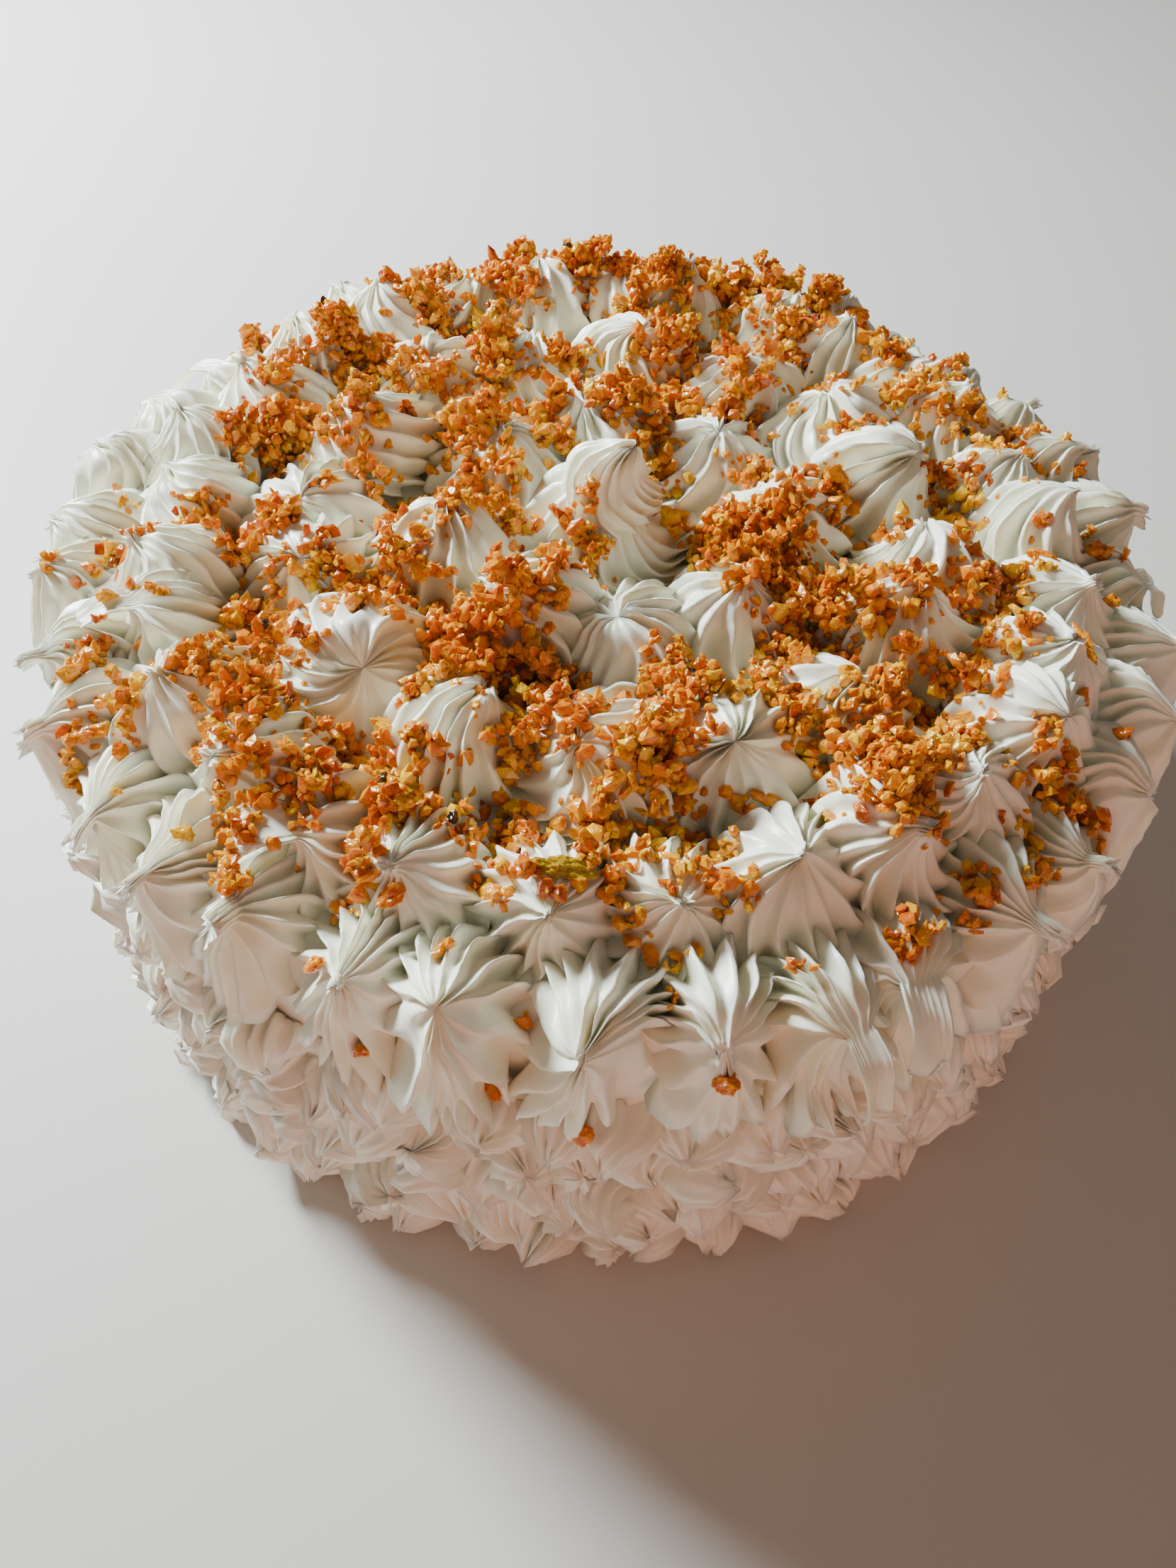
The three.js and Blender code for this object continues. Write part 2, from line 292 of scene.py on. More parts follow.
def star_tree():
    """Piped stars on points: each is a sheet of samples, wrapped round an axis, ridged like the nozzle,
    bellied, drawn out to a tip that bends over, and torn at its end. They are joined into one skin."""
    maker = Maker("piped_stars", {
        "Ridges": 16, "Samples": 9, "Rows": 44, "Ridge Depth": 0.25, "Undercut": 0.3, "Closing": 0.85,
        "Belly": 1.3, "Tear": 0.2, "Unevenness": 1.0, "Seed": 0,
    })
    ridges, rows = maker.input("Ridges"), maker.input("Rows")
    sheet = maker.node("GeometryNodeMeshGrid", None, {
        "Size X": 1.0, "Size Y": 1.0, "Vertices X": ridges * maker.input("Samples") + 1, "Vertices Y": rows})
    place = maker.node("GeometryNodeInputPosition")
    parts = maker.node("ShaderNodeSeparateXYZ", None, {"Vector": place}).socket.node
    round_share = Wire(maker, parts.outputs["X"]) + 0.5
    row = (Wire(maker, parts.outputs["Y"]) + 0.5) * (rows - 1)
    sheet = maker.store(maker.store(sheet, "round", round_share), "row", row)

    stars = maker.node("GeometryNodeInstanceOnPoints", None,
                       {"Points": maker.input("Geometry"), "Instance": sheet})
    skin = maker.node("GeometryNodeRealizeInstances", None, {"Geometry": stars})

    star = maker.attribute("star")
    round_share, row = maker.attribute("round"), maker.attribute("row")
    base, height = maker.attribute("base"), maker.attribute("height")
    tip_width, tongue = maker.attribute("tip"), maker.attribute("tongue")
    seed = maker.input("Seed")
    tau = 2 * math.pi

    def wobble(waves, channel):
        shift = maker.random(0.0, tau, star, seed + channel)
        return maker.math("SINE", round_share * (tau * waves) + shift)

    def wave(share, turns, channel):
        shift = maker.random(0.0, tau, star, seed + channel)
        return maker.math("SINE", share * turns + shift)

    # Shares: 0 at the foot, 1 at the tip; the first and last rows close the ends.
    share = maker.node("ShaderNodeClamp", None, {"Value": (row - 1) / (rows - 3)})
    inside = maker.math("MINIMUM", maker.math("MINIMUM", row, rows - 1 - row), 1.0)

    # The ridges: sharp crests with broad flutes between them, each a little unlike the next.
    uneven = maker.input("Unevenness")
    turn = round_share + uneven * (0.016 * wobble(2, 11) + 0.010 * wobble(3, 12))
    ridge_turn = round_share * ridges
    along_ridge = maker.math("FRACT", ridge_turn)
    lean = maker.attribute("lean")
    forward = maker.math("POWER", along_ridge, 1 + maker.above(lean, 0.0))
    backward = maker.math("POWER", 1 - along_ridge, 1 - maker.math("MINIMUM", lean, 0.0))
    skewed = maker.node("ShaderNodeMix", {"data_type": "FLOAT"},
                        {0: maker.math("GREATER_THAN", lean, 0.0), 2: backward, 3: forward})
    groove = maker.math("ABSOLUTE", maker.math("SINE", skewed * math.pi))
    crest = 1 - groove
    ridge = maker.math("FLOORED_MODULO", maker.math("FLOOR", ridge_turn + 0.5), ridges)
    own = ridge + star * 37
    ridge_size = maker.random(-1.0, 1.0, own, seed + 13)
    ridge_pull = maker.random(0.0, 1.0, own, seed + 14)

    # The section's turn, and the side that hangs.
    twist = maker.attribute("twist") * share * (0.5 + 0.5 * share)
    angle = turn * tau + twist + uneven * 0.12 * wave(share, 5.0, 17)
    cosine, sine = maker.math("COSINE", angle), maker.math("SINE", angle)
    hang = maker.attribute("hang")
    lower = maker.above(0 - sine, 0.0)

    # The outline: a belly that narrows to a drawn tip, cut under at the foot, most of all in the flutes.
    # A tongue is a long tip: the belly then closes early, and the rest of the height is the tongue.
    body = maker.math("MINIMUM", share * (1 + 0.55 * tongue), 1.0)
    belly = maker.math("POWER", 1 - body, maker.input("Closing")) * (1 + maker.input("Belly") * body)
    tuck = maker.above(1 - share / 0.2, 0.0)
    drawn = maker.smooth(share, 0.3, 0.75)
    under = maker.input("Undercut") * (0.35 + 0.65 * groove) * tuck * tuck
    outline = belly * (1 - under) + tip_width * drawn
    flat = maker.smooth(tongue, 0.25, 0.8) * maker.smooth(share, 0.45, 0.7)
    depth = maker.input("Ridge Depth") * (1 + 0.5 * tuck) * (1 - 0.95 * flat)
    depth = depth * (1 - 0.85 * maker.smooth(share, 0.55, 0.95))
    ridged = 1.06 - depth * groove + uneven * 0.06 * ridge_size * crest * crest
    foot_end = maker.above(1 - share / 0.34, 0.0)
    spike = 0.75 * hang * lower * ridge_pull * ridge_pull * crest * crest * foot_end * foot_end
    radius = base * outline * ridged * inside * (1 + spike) * (1 + uneven * 0.06 * wobble(2, 15))

    # Towards a torn tongue the section goes flat, with its edges turned up.
    across = radius * cosine * (1 + 0.3 * flat)
    edge = across / (base * (tip_width + 0.05))
    inwards = radius * (sine + lower * (1 - maker.attribute("skirt") * (1 - flat) - flat))
    along = inwards * (1 - 0.72 * flat) + flat * inside * 0.9 * maker.math("MINIMUM", edge * edge, 2.0)

    # The spine: straight from the foot, then bent over towards the side that hangs.
    tear = maker.input("Tear") * maker.smooth(share, 0.75, 1.0) * inside
    torn = 0.7 * crest * ridge_pull * (1 - flat) + 0.5 * wobble(2, 16) * (groove * (1 - flat) + 0.5 * flat)
    length = height * (share + tear * torn) + base * 0.35 * spike * inside
    straight = 0.35
    bent = maker.above(length - straight * height, 0.0)
    curl = maker.attribute("bend") / (height * (1 - straight))
    bend = curl * bent
    rise = maker.math("MINIMUM", length, straight * height) + maker.math("SINE", bend) / curl
    reach = (maker.math("COSINE", bend) - 1) / curl
    shift = maker.attribute("shift") * base * maker.smooth(share, 0.0, 0.7)
    inwards = along * maker.math("COSINE", bend) + reach + shift
    carved = base * depth * groove * maker.smooth(share, 0.0, 0.3) * inside
    up = rise + along * maker.math("SINE", bend) - 0.7 * carved

    # The outer side curves down over what the star sits on.
    drape = maker.attribute("drape") + 0.0001
    round_edge = drape * maker.above(0 - inwards, 0.0)
    edge_sine, edge_cosine = maker.math("SINE", round_edge), maker.math("COSINE", round_edge)
    spot = (maker.attribute("foot", "FLOAT_VECTOR")
            + maker.attribute("across", "FLOAT_VECTOR") * across
            + maker.attribute("along", "FLOAT_VECTOR")
            * (maker.above(inwards, 0.0) - edge_sine / drape - up * edge_sine)
            + maker.attribute("axis", "FLOAT_VECTOR") * (up * edge_cosine - (1 - edge_cosine) / drape))

    # Hand-made unevenness, a ragged crest, and a torn end.
    broad = maker.noise(spot, 0.075, 1.0, 1)
    fine = maker.noise(spot, 0.34, 2.0, 1)
    ragged = 0.45 + inside * (0.5 * crest * crest + 2.2 * tear)
    spot = spot + (broad - (0.5, 0.5, 0.5)) * (5.0 * uneven) + (fine - (0.5, 0.5, 0.5)) * (ragged * uneven)
    limits = maker.vector("MAXIMUM", spot, (-500.0, -500.0, 0.0))
    skin = maker.node("GeometryNodeSetPosition", None, {"Geometry": skin, "Position": limits * MM})

    apart = maker.node("GeometryNodeSplitToInstances", {"domain": "FACE"},
                       {"Geometry": skin, "Group ID": maker.math("ROUND", star)})
    closed = maker.node("GeometryNodeMergeByDistance", None, {"Geometry": apart, "Distance": 2e-6})
    joined = maker.node("GeometryNodeMeshBoolean", {"operation": "UNION", "solver": "MANIFOLD"},
                        {1: closed})
    smooth = maker.node("GeometryNodeSetShadeSmooth", None, {"Geometry": joined})
    return maker.end(smooth)


def star_frame(azimuth, tilt):
    """The three directions of a star: across the ring, square to both, and along the star's axis."""
    outward = Vector((math.cos(azimuth), math.sin(azimuth), 0))
    across = Vector((-math.sin(azimuth), math.cos(azimuth), 0))
    axis = math.cos(tilt) * Vector((0, 0, 1)) + math.sin(tilt) * outward
    return across, axis.cross(across), axis, outward


def ring_points(name, ring, droop, wander, stars=None, hang=0.0, tongues=0.0, spikes=0.0, tip=0.08):
    """The points of one ring of stars, where the solids have them. droop: how far the tips bend
    outwards, wander: how far they bend any way, both in radians, hang: how far single ridges are drawn
    out at the foot of the outer side, tongues: the share of the stars whose tip is a long torn tongue,
    spikes: how far the other tips are drawn out, tip: half width of the tips as a share of the star."""
    group = ring["group"]
    places, numbers, vectors = [], {}, {}
    for index in stars or range(ring["count"]):
        azimuth = math.radians(ring["phase"] + 360 / ring["count"] * (index + 0.16 * vary(group, index, 0)))
        tilt = math.radians(ring["tilt"] + 5 * vary(group, index, 1))
        across, along, axis, outward = star_frame(azimuth, tilt)
        reach = ring["radius"] + 1.6 * vary(group, index, 2) if ring["radius"] else 0
        foot = outward * reach + Vector((0, 0, ring["foot"]))
        turn = wander * vary(group, index, 8)
        spin = Matrix.Rotation(turn, 3, axis)
        tongue = 1.0 if draw(group, index, 12) < tongues else spikes * draw(group, index, 15)
        own = dict(
            star=index, base=ring["base"] * (1 + 0.09 * vary(group, index, 3)),
            height=ring["height"] * (1 + 0.14 * vary(group, index, 4)) * (1 + 0.3 * tongue),
            twist=1.5 * vary(group, index, 6), skirt=ring["skirt"], drape=ring["drape"],
            bend=droop + 0.35 * vary(group, index, 9) + 0.01 + 1.6 * tongue,
            shift=0.1 * vary(group, index, 10), lean=0.8 * vary(group, index, 11), tongue=tongue,
            hang=hang * (1 + 0.5 * vary(group, index, 13)),
            tip=tip * (1 + 0.6 * vary(group, index, 14)) + 0.11 * tongue)
        places.append(foot)
        for key, value in own.items():
            numbers.setdefault(key, []).append(value)
        for key, value in dict(foot=foot, across=spin @ across, along=spin @ along, axis=axis).items():
            vectors.setdefault(key, []).append(value)
    return points_mesh(name, places, numbers, vectors)


def wall_points(name, quarter):
    """Points for the small stars of one quarter of the wall, counted from the left."""
    group = WALL_GROUP
    places, numbers, vectors = [], {}, {}
    for row in range(WALL_ROWS):
        for column in range(WALL_STARS):
            index = row * WALL_STARS + column
            share = (column + (row % 2) / 2) / WALL_STARS
            azimuth = 2 * math.pi * share + 0.03 * vary(group, index, 0)
            level = FIRST_ROW + ROW_PITCH * row + 1.8 * vary(group, index, 1)
            degrees = (math.degrees(azimuth) + 180) % 360 - 180
            bare = abs(degrees - BARE_PATCH["azimuth"]) < BARE_PATCH["width"] / 2
            if bare and BARE_PATCH["low"] < level < BARE_PATCH["high"]:
                continue
            if int((degrees - LEFT_STARTS) % 360 // 90) != quarter:
                continue
            tilt = math.radians(90 + 16 * vary(group, index, 2))
            across, along, axis, outward = star_frame(azimuth, tilt)
            foot = outward * (CAKE_RADIUS - SUNK) + Vector((0, 0, level))
            spin = Matrix.Rotation(math.pi * vary(group, index, 3), 3, axis)
            own = dict(
                star=index, base=WALL_STAR_RADIUS * (1 + 0.2 * vary(group, index, 4)),
                height=WALL_STAR_HEIGHT * (1 + 0.12 * vary(group, index, 5)),
                twist=0.9 * vary(group, index, 6), skirt=1 + 0.2 * vary(group, index, 7), drape=0.0,
                bend=1.1 * vary(group, index, 8) + 0.01, shift=0.2 * vary(group, index, 9),
                lean=0.8 * vary(group, index, 10), tongue=0.0, hang=0.9, tip=0.12)
            places.append(foot)
            for key, value in own.items():
                numbers.setdefault(key, []).append(value)
            for key, value in dict(foot=foot, across=spin @ across, along=spin @ along, axis=axis).items():
                vectors.setdefault(key, []).append(value)
    return points_mesh(name, places, numbers, vectors)


# The coated cake -------------------------------------------------------------------------------------


def coated_cake(material):
    """The cake with its spread coat: a drum with a rounded upper edge and slightly uneven cream."""
    segments, round_steps = 144, 7
    outline = [(0.0, 0.0), (CAKE_RADIUS, 0.0)]
    outline += [(CAKE_RADIUS, level) for level in np.linspace(6, CAKE_TOP - EDGE_ROUND, 12)]
    for step in range(1, round_steps + 1):
        angle = step / round_steps * math.pi / 2
        outline.append((CAKE_RADIUS - EDGE_ROUND * (1 - math.cos(angle)),
                        CAKE_TOP - EDGE_ROUND * (1 - math.sin(angle))))
    outline += [(reach, CAKE_TOP) for reach in np.linspace(CAKE_RADIUS - EDGE_ROUND - 6, 6, 16)]
    outline.append((0.0, CAKE_TOP))
    verts, faces, starts = [], [], []
    for radius, level in outline:
        starts.append(len(verts))
        count = 1 if radius == 0 else segments
        for step in range(count):
            azimuth = 2 * math.pi * step / segments
            swell = 0.5 * math.sin(3 * azimuth + level / 9) * math.sin(level / 14 + 2 * azimuth)
            reach = radius + (swell if level > 1 and radius > 1 else 0)
            verts.append((MM * reach * math.cos(azimuth), MM * reach * math.sin(azimuth), MM * level))
    for low, high in zip(range(len(outline) - 1), range(1, len(outline))):
        for step in range(segments):
            after = (step + 1) % segments
            if outline[low][0] == 0:
                faces.append((starts[low], starts[high] + after, starts[high] + step))
            elif outline[high][0] == 0:
                faces.append((starts[low] + step, starts[low] + after, starts[high]))
            else:
                faces.append((starts[low] + step, starts[low] + after, starts[high] + after,
                              starts[high] + step))
    mesh = bpy.data.meshes.new("coated_cake")
    mesh.from_pydata(verts, [], faces)
    mesh.materials.append(material)
    mesh.polygons.foreach_set("use_smooth", [len(one.vertices) == 4 for one in mesh.polygons])
    piece = bpy.data.objects.new("coated_cake", mesh)
    bpy.context.scene.collection.objects.link(piece)
    return piece


# Materials -------------------------------------------------------------------------------------------


def finish(name):
    """A new material, its graph, its main shader and the object coordinates."""
    material = bpy.data.materials.new(name)
    material.use_nodes = True
    graph = Graph(material.node_tree)
    shader = next(one for one in material.node_tree.nodes if one.type == "BSDF_PRINCIPLED")
    place = graph.node("ShaderNodeTexCoord", output=3)
    return material, graph, shader, place


def cream(name, pale, deep):
    """Whipped cream: soft, slightly see-through, with fine pits and faint swirls of deeper colour."""
    material, graph, shader, place = finish(name)
    swirl = graph.noise(place, 60.0, 3.0, Distortion=1.2)
    share = graph.smooth(swirl, 0.35, 0.75)
    graph.fill(shader.inputs["Base Color"], graph.mix(share, (*pale, 1), (*deep, 1)))
    pits = graph.noise(place, 900.0, 2.0)
    graph.fill(shader.inputs["Roughness"], 0.27 + 0.16 * pits)
    bump = graph.node("ShaderNodeBump", None,
                      {"Strength": 0.15, "Distance": 0.0004,
                       "Height": pits * 0.5 + graph.noise(place, 260.0, 2.0)})
    graph.fill(shader.inputs["Normal"], bump)
    shader.inputs["Subsurface Weight"].default_value = 0.3
    shader.inputs["Subsurface Radius"].default_value = (1.0, 0.78, 0.45)
    shader.inputs["Subsurface Scale"].default_value = 0.0012
    shader.inputs["Specular IOR Level"].default_value = 0.45
    return material


def candied_carrot(name, dark, mid, light):
    """Candied carrot: wet, glossy and see-through at the edges, each crumb its own orange."""
    material, graph, shader, place = finish(name)
    patch = graph.noise(place, 420.0, 2.0)
    ramp = graph.node("ShaderNodeValToRGB",
                      {"stops": [(0.3, dark), (0.5, mid), (0.72, light)]}, {"Fac": patch})
    graph.fill(shader.inputs["Base Color"], ramp)
    graph.fill(shader.inputs["Roughness"], 0.03 + 0.13 * graph.noise(place, 1500.0, 1.0))
    bump = graph.node("ShaderNodeBump", None,
                      {"Strength": 0.6, "Distance": 0.0006, "Height": graph.noise(place, 1300.0, 2.0)})
    graph.fill(shader.inputs["Normal"], bump)
    shader.inputs["Transmission Weight"].default_value = 0.15
    shader.inputs["IOR"].default_value = 1.4
    shader.inputs["Specular IOR Level"].default_value = 0.75
    shader.inputs["Subsurface Weight"].default_value = 0.4
    shader.inputs["Subsurface Radius"].default_value = (1.0, 0.4, 0.08)
    shader.inputs["Subsurface Scale"].default_value = 0.0014
    return material


# Making ----------------------------------------------------------------------------------------------


def placed(piece, slot, *nodes):
    """Hands a finished piece to the frame: its body and the solids that it stands for. slot: not used."""
    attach(piece, "root")
    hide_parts(*nodes)
    return piece


cream_finish = cream("piped_cream_finish", (0.925, 0.92, 0.785), (0.905, 0.885, 0.7))
wall_finish = cream("wall_cream_finish", (0.93, 0.9, 0.79), (0.91, 0.87, 0.72))

stars = star_tree()
top_pieces = []


def pipe(name, source, **sizes):
    """Pipes the large stars of the top on their points."""
    piece = grown(name, source, stars, cream_finish, **sizes)
    top_pieces.append(placed(piece, "piped_cream", "piped_cream"))


def halves(ring):
    """The two halves of a ring, each a piece of its own: the number of the half, and its stars."""
    half = ring["count"] // 2
    return enumerate((range(half), range(half, ring["count"])), 1)


for name, ring in MIDDLE_TIERS.items():
    pipe(name, ring_points(name, ring, 0.35, 3.1, tip=0.1), rows=50, seed=1)
pipe("inner_stars", ring_points("inner", RINGS["inner"], 0.4, 3.1, tip=0.12), seed=2)
pipe("second_stars", ring_points("second", RINGS["second"], 0.5, 3.1, tip=0.14), seed=3)
for part, some in halves(RINGS["outer"]):
    pipe(f"outer_stars_{part}", ring_points(f"outer_{part}", RINGS["outer"], 0.35, 0.6, some, hang=0.4,
                                            tongues=0.08, spikes=0.2), seed=3 + part, tear=0.14)
for part, some in halves(RINGS["rim"]):
    pipe(f"rim_stars_{part}", ring_points(f"rim_{part}", RINGS["rim"], 0.35, 0.4, some, hang=1.0,
                                          tongues=0.22, spikes=0.4),
         rows=37, seed=5 + part, tear=0.14, ridge_depth=0.33)
for quarter, side in enumerate(WALL_SIDES):
    wall = grown(f"wall_stars_{side}", wall_points(f"wall_{side}", quarter), stars, wall_finish,
                 ridges=13, samples=5, rows=12, seed=8, ridge_depth=0.34, tear=0.35)
    placed(wall, "wall_cream", "frosted_cake")
drum = placed(coated_cake(wall_finish), "wall_cream", "frosted_cake")


# Carrot crumbs ---------------------------------------------------------------------------------------

# Heaps of crumbs: where they lie on the top, how far they spread, and how many clusters of crumbs.
HEAPS = [
    # Round the middle star and to its right.
    (33, -8, 7, 40), (28, -18, 6, 23), (42, -23, 6, 27), (21, 1, 5, 16), (20, -12, 4, 8), (33, -30, 5, 14),
    (52, -22, 5, 10), (56, -37, 6, 14), (65, -41, 5, 8), (48, -46, 5, 14), (68, -31, 4, 6), (70, -17, 6, 9),
    (65, -9, 4, 4), (77, -12, 4, 4), (43, 12, 4, 9), (31, 11, 4, 5), (33, 2, 4, 6), (52, -4, 5, 4),
    (-21, -4, 4, 10), (-14, -14, 4, 7), (-4, -8, 4, 7), (1, 30, 6, 23), (10, 42, 5, 14), (12, 56, 5, 14),
    (24, 38, 5, 11), (27, 52, 6, 10), (9, 18, 4, 7),
    # The front.
    (43, -60, 6, 29), (55, -58, 6, 15), (47, -70, 4, 11), (28, -43, 4, 9), (32, -50, 4, 8), (12, -42, 5, 11),
    (14, -48, 4, 8), (10, -58, 6, 18), (8, -66, 4, 11), (0, -73, 5, 11), (14, -73, 3, 5), (-5, -56, 5, 13),
    (-14, -57, 5, 9), (-28, -64, 4, 10), (-31, -73, 4, 13), (-45, -71, 5, 9), (-34, -83, 4, 4),
    (-19, -79, 5, 6), (-14, -70, 4, 5), (-56, -85, 3, 3), (-9, -87, 4, 4), (9, -88, 5, 7), (19, -84, 5, 5),
    (75, -54, 5, 8), (82, -60, 3, 4), (60, -78, 4, 3), (72, -70, 4, 2), (50, -89, 4, 4),
    # The left.
    (-17, -33, 6, 27), (-28, -33, 5, 18), (-20, -42, 6, 20), (-8, -42, 4, 9), (-43, -33, 4, 6),
    (-37, -24, 6, 18), (-48, -21, 5, 12), (-58, -21, 4, 7), (-30, -8, 4, 6), (-41, -10, 4, 5),
    (-64, -7, 4, 9), (-71, -12, 5, 9), (-80, -7, 4, 7), (-88, -14, 5, 7), (-67, -27, 4, 7),
    (-61, -37, 5, 11), (-54, -41, 4, 5),
    (-67, -50, 4, 6), (-58, -54, 5, 11), (-57, -61, 5, 10), (-46, -57, 5, 6), (-37, -60, 4, 7),
    (-28, -50, 4, 6), (-92, -42, 4, 5), (-85, -57, 4, 6), (-58, -72, 3, 4), (-100, -18, 5, 3),
    # The back.
    (-73, 22, 6, 27), (-65, 27, 5, 12), (-74, 38, 4, 10), (-52, 22, 4, 12), (-48, 8, 4, 6), (-61, 50, 6, 23),
    (-51, 46, 5, 12), (-66, 59, 5, 14), (-84, 60, 4, 7), (-45, 70, 5, 17), (-36, 66, 4, 9), (-39, 40, 4, 9),
    (-27, 48, 5, 20), (-30, 22, 5, 21), (-24, 10, 5, 11), (-35, 10, 4, 7), (-13, 20, 4, 7), (-12, 31, 4, 7),
    (-13, 54, 4, 9), (-28, 86, 7, 22), (-46, 84, 5, 11), (-8, 90, 7, 33), (8, 84, 6, 23), (22, 92, 7, 26),
    (34, 92, 6, 19), (3, 100, 6, 17), (48, 88, 6, 15), (15, 70, 5, 12), (40, 70, 5, 15), (33, 60, 4, 5),
    (47, 50, 4, 8), (49, 30, 4, 5), (64, 46, 5, 10), (72, 38, 5, 9), (70, 21, 5, 9), (69, 11, 4, 6),
    (82, 26, 5, 6), (58, 62, 4, 6), (97, 5, 4, 2),
    (-38, 92, 6, 10), (-20, 96, 6, 12), (-20, 76, 5, 7), (0, 74, 5, 6), (28, 78, 6, 9), (20, 102, 5, 9),
    (60, 74, 5, 7), (52, 96, 5, 6), (75, 58, 5, 7), (84, 42, 5, 6), (-56, 76, 5, 6), (-76, 66, 4, 4),
]
# How full the heaps are, how many clusters lie loose, and how far out they go.
HEAP_FULLNESS = 1.25
LOOSE_CLUSTERS = 160
LOOSE_REACH = 106
CRUMB_SEED = 63
# The heights that a crumb rests between, and how far from the axis it may lie.
RESTING = (60, 112)
REACH = 111
# The share of each kind.
CRUMB_KINDS = {
    "orange_crumbs": 0.49,
    "amber_crumbs": 0.35,
    "golden_crumbs": 0.08,
    "dark_crumbs": 0.08,
}
# Larger shreds that lie on the top: place, length, width and direction in degrees.
SHREDS = [
    (-57, -47, 7.5, 3.2, 80), (-74, 41, 7, 3, 95), (84, -31, 8, 2.8, 100), (28, -66, 7.5, 2.6, 172),
    (49, -90, 6, 2.6, 35), (-55, -86, 6, 3.4, 95), (97, 4, 6, 4.8, 60), (83, -5, 7, 2.6, 168),
    (-90, -19, 9, 1.0, 70), (14, -72, 5.5, 4, 60), (-39, 40, 6, 2.8, 110), (56, 84, 7, 4.5, 20),
    (8, 8, 4.6, 4.2, 0), (-86, -58, 6, 2.6, 175), (62, -80, 6, 2.2, 80), (-69, 45, 6, 2.6, 85),
    (-2, 101, 6, 3.4, 20), (26, 100, 6.5, 4, 70), (40, 98, 6, 3.6, 40),
]
# The olive-yellow piece, in the same terms.
PEEL = dict(x=-4, y=-87, length=8.5, width=3.4, direction=12)
# Shreds that stick to the side: azimuth and height, length, width and slope in degrees.
SIDE_SHREDS = [
    (-97, 73, 6.5, 2.4, 15), (-98, 65, 4, 1.7, -20), (-90, 64, 3.6, 3.2, 60), (-87, 55, 5, 2.8, 75),
    (-79, 84, 3.8, 3.4, 30), (-107, 79, 4, 2.6, 60), (-112, 90, 5, 3.2, 60), (-63, 61, 5.5, 2.4, 5),
    (-109, 94, 4.5, 3.4, 20), (40, 70, 4, 2.6, 30), (118, 76, 4.4, 2.6, 10), (160, 66, 4, 2.4, -30),
]
# Where the dark specks lie.
SPECKS = [(14, -43), (-33, -71), (-14, 91), (-66, 58), (-59, -38), (74, 34), (-22, -76)]


class Relief:
    """How high the cream stands over a square grid, raised as crumbs land on it. In millimetres, STEP: side
    of a cell, HALF: half the grid's side, ROLL: how far a crumb rolls at a time, STEADY: the drop below
    which it stays, BRINK: the height that it doesn't roll under. In metres, ABOVE: where the rays start."""

    STEP = 0.6
    HALF = 116
    ABOVE = 0.2
    ROLL = 1.3
    STEADY = 0.35
    BRINK = 70

    def __init__(self, pieces):
        self.count = int(2 * self.HALF / self.STEP)
        self.height = np.full((self.count, self.count), -1.0)
        bpy.context.view_layer.update()
        graph = bpy.context.evaluated_depsgraph_get()
        self.trees = [BVHTree.FromObject(piece, graph) for piece in pieces]
        down = Vector((0, 0, -1))
        for column in range(self.count):
            for row in range(self.count):
                x, y = self.spot(column), self.spot(row)
                if math.hypot(x, y) > self.HALF:
                    continue
                start = Vector((MM * x, MM * y, self.ABOVE))
                hits = [tree.ray_cast(start, down)[0] for tree in self.trees]
                tops = [hit.z / MM for hit in hits if hit]
                if tops:
                    self.height[column, row] = max(tops)

    def spot(self, cell):
        return (cell + 0.5) * self.STEP - self.HALF

    def cell(self, x):
        return min(max(int((x + self.HALF) / self.STEP), 0), self.count - 1)

    def at(self, x, y):
        return self.height[self.cell(x), self.cell(y)]

    def rolled(self, x, y, steps):
        """Where a crumb dropped at x, y comes to lie after some steps downhill. It stops where the slope
        holds it, and before it would roll off the brink."""
        for _ in range(steps):
            around = [(x + self.ROLL * math.cos(turn), y + self.ROLL * math.sin(turn))
                      for turn in np.arange(8) * math.pi / 4]
            lowest = min(around, key=lambda spot: self.at(*spot))
            if self.at(*lowest) > self.at(x, y) - self.STEADY or self.at(*lowest) < self.BRINK:
                break
            x, y = lowest
        return x, y

    def land(self, x, y, size):
        """Raises the relief where a crumb of that size lands, and gives the height under it."""
        reach = max(1, round(0.8 * size / self.STEP))
        column, row = self.cell(x), self.cell(y)
        patch = self.height[column - reach:column + reach + 1, row - reach:row + reach + 1]
        under = float(np.median(patch)) if patch.size else -1.0
        patch[patch > 0] = np.maximum(patch[patch > 0], under + 0.6 * size)
        return under


